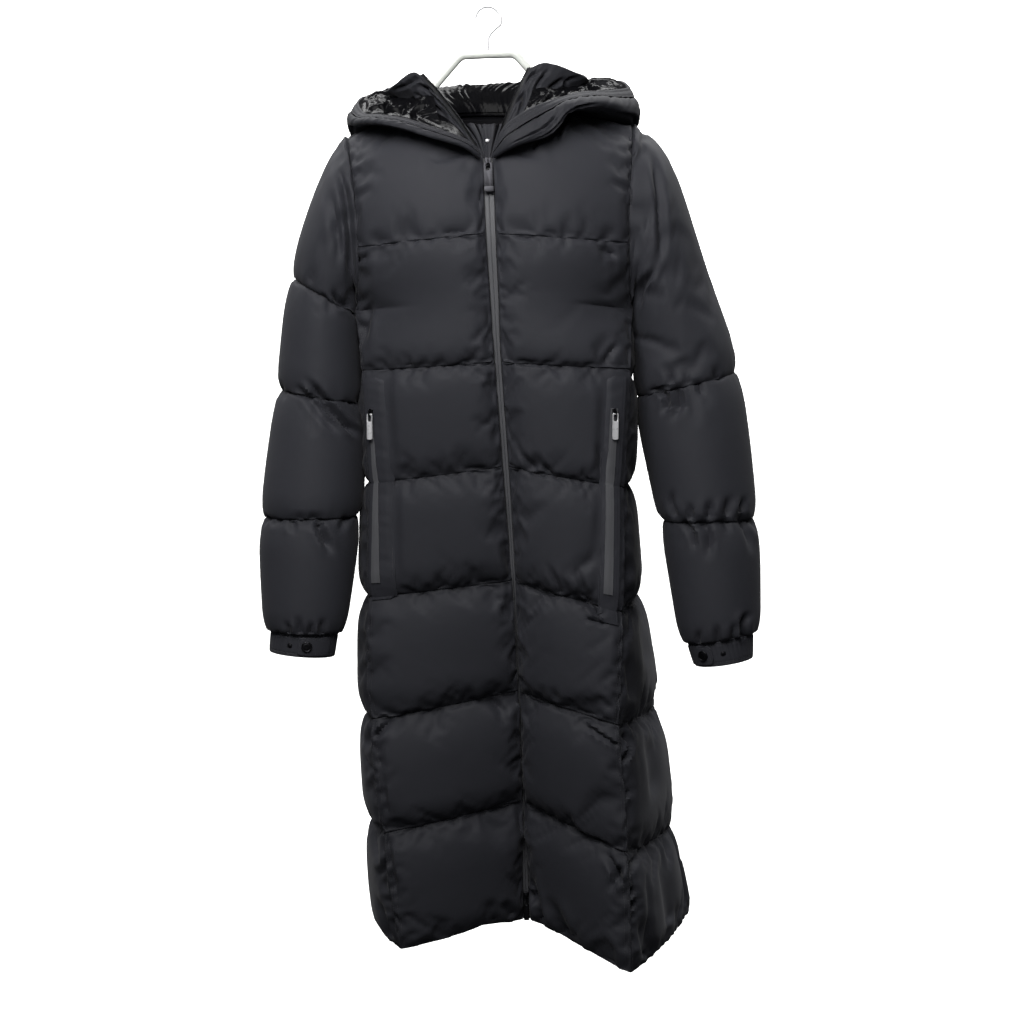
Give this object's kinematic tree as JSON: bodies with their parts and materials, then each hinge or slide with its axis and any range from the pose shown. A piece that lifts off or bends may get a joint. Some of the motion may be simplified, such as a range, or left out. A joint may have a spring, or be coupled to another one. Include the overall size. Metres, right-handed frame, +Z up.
{
  "type": "long puffer coat on a hanger",
  "caption": "Long hooded puffer coat with zipped front and pockets, snap cuffs and open neck, sleeves and hem, hanging on a plain hanger.",
  "frame": {"origin": "the point inside the top of the hanger's hook where a rail holds it", "axes": "+Z up, -Y the coat's front, +X the viewer's right as they face the front"},
  "size_m": [0.6622, 0.3309, 1.2665],
  "materials": {
    "shell": "smooth matt black nylon with a faint sheen, quilted over filling",
    "lining": "thin glossy black nylon, gathered",
    "tape": "grey laminated zip tape",
    "dark_metal": "black lacquered metal",
    "bright_metal": "polished metal",
    "plastic": "smooth off-white plastic"
  },
  "bodies": {
    "coat": {"front_left": "shell", "front_right": "shell", "side_left": "shell", "side_right": "shell", "back": "shell", "sleeve_left": "shell", "sleeve_right": "shell", "cuff_left": "shell", "cuff_right": "shell", "cuff_tab_left": "shell", "cuff_tab_right": "shell", "collar": "shell", "hood_left": "shell", "hood_centre": "shell", "hood_right": "shell", "hood_edge": "shell", "inner_collar": "shell", "pocket_welt_left": "shell", "pocket_welt_right": "shell", "collar_lining": "lining", "collar_tape_left": "tape", "collar_tape_right": "tape", "zip_tape_left": "tape", "zip_tape_right": "tape", "pocket_tape_left": "tape", "pocket_tape_right": "tape", "cuff_snap_left": "dark_metal", "cuff_snap_right": "dark_metal", "cuff_stud_left": "dark_metal", "cuff_stud_right": "dark_metal", "main_slider": "dark_metal", "main_bridge": "dark_metal", "bottom_slider": "dark_metal", "bottom_bridge": "dark_metal", "pocket_left_slider": "dark_metal", "pocket_left_bridge": "dark_metal", "pocket_right_slider": "dark_metal", "pocket_right_bridge": "dark_metal", "inner_collar_stud": "bright_metal", "hanger_hook": "bright_metal", "hanger": "plastic"},
    "main_pull": {"main_pull": "dark_metal"},
    "bottom_pull": {"bottom_pull": "dark_metal"},
    "pocket_left_pull": {"pocket_left_pull": "bright_metal"},
    "pocket_right_pull": {"pocket_right_pull": "bright_metal"}
  },
  "joints": [
    {"name": "main_pull", "type": "hinge", "parent": "coat", "child": "main_pull", "pos_m": [0.00125, -0.10043, -0.21112], "axis": [-0.9992, 0, -0.0408], "range_deg": [0, 150]},
    {"name": "bottom_pull", "type": "hinge", "parent": "coat", "child": "bottom_pull", "pos_m": [0.05105, -0.06018, -1.18915], "axis": [-0.9996, 0, -0.0297], "range_deg": [0, 150]},
    {"name": "pocket_left_pull", "type": "hinge", "parent": "coat", "child": "pocket_left_pull", "pos_m": [-0.15362, -0.09016, -0.53331], "axis": [-0.9027, 0.4302, 0], "range_deg": [0, 150]},
    {"name": "pocket_right_pull", "type": "hinge", "parent": "coat", "child": "pocket_right_pull", "pos_m": [0.16509, -0.12224, -0.53131], "axis": [-0.9474, -0.32, 0], "range_deg": [0, 150]}
  ]
}
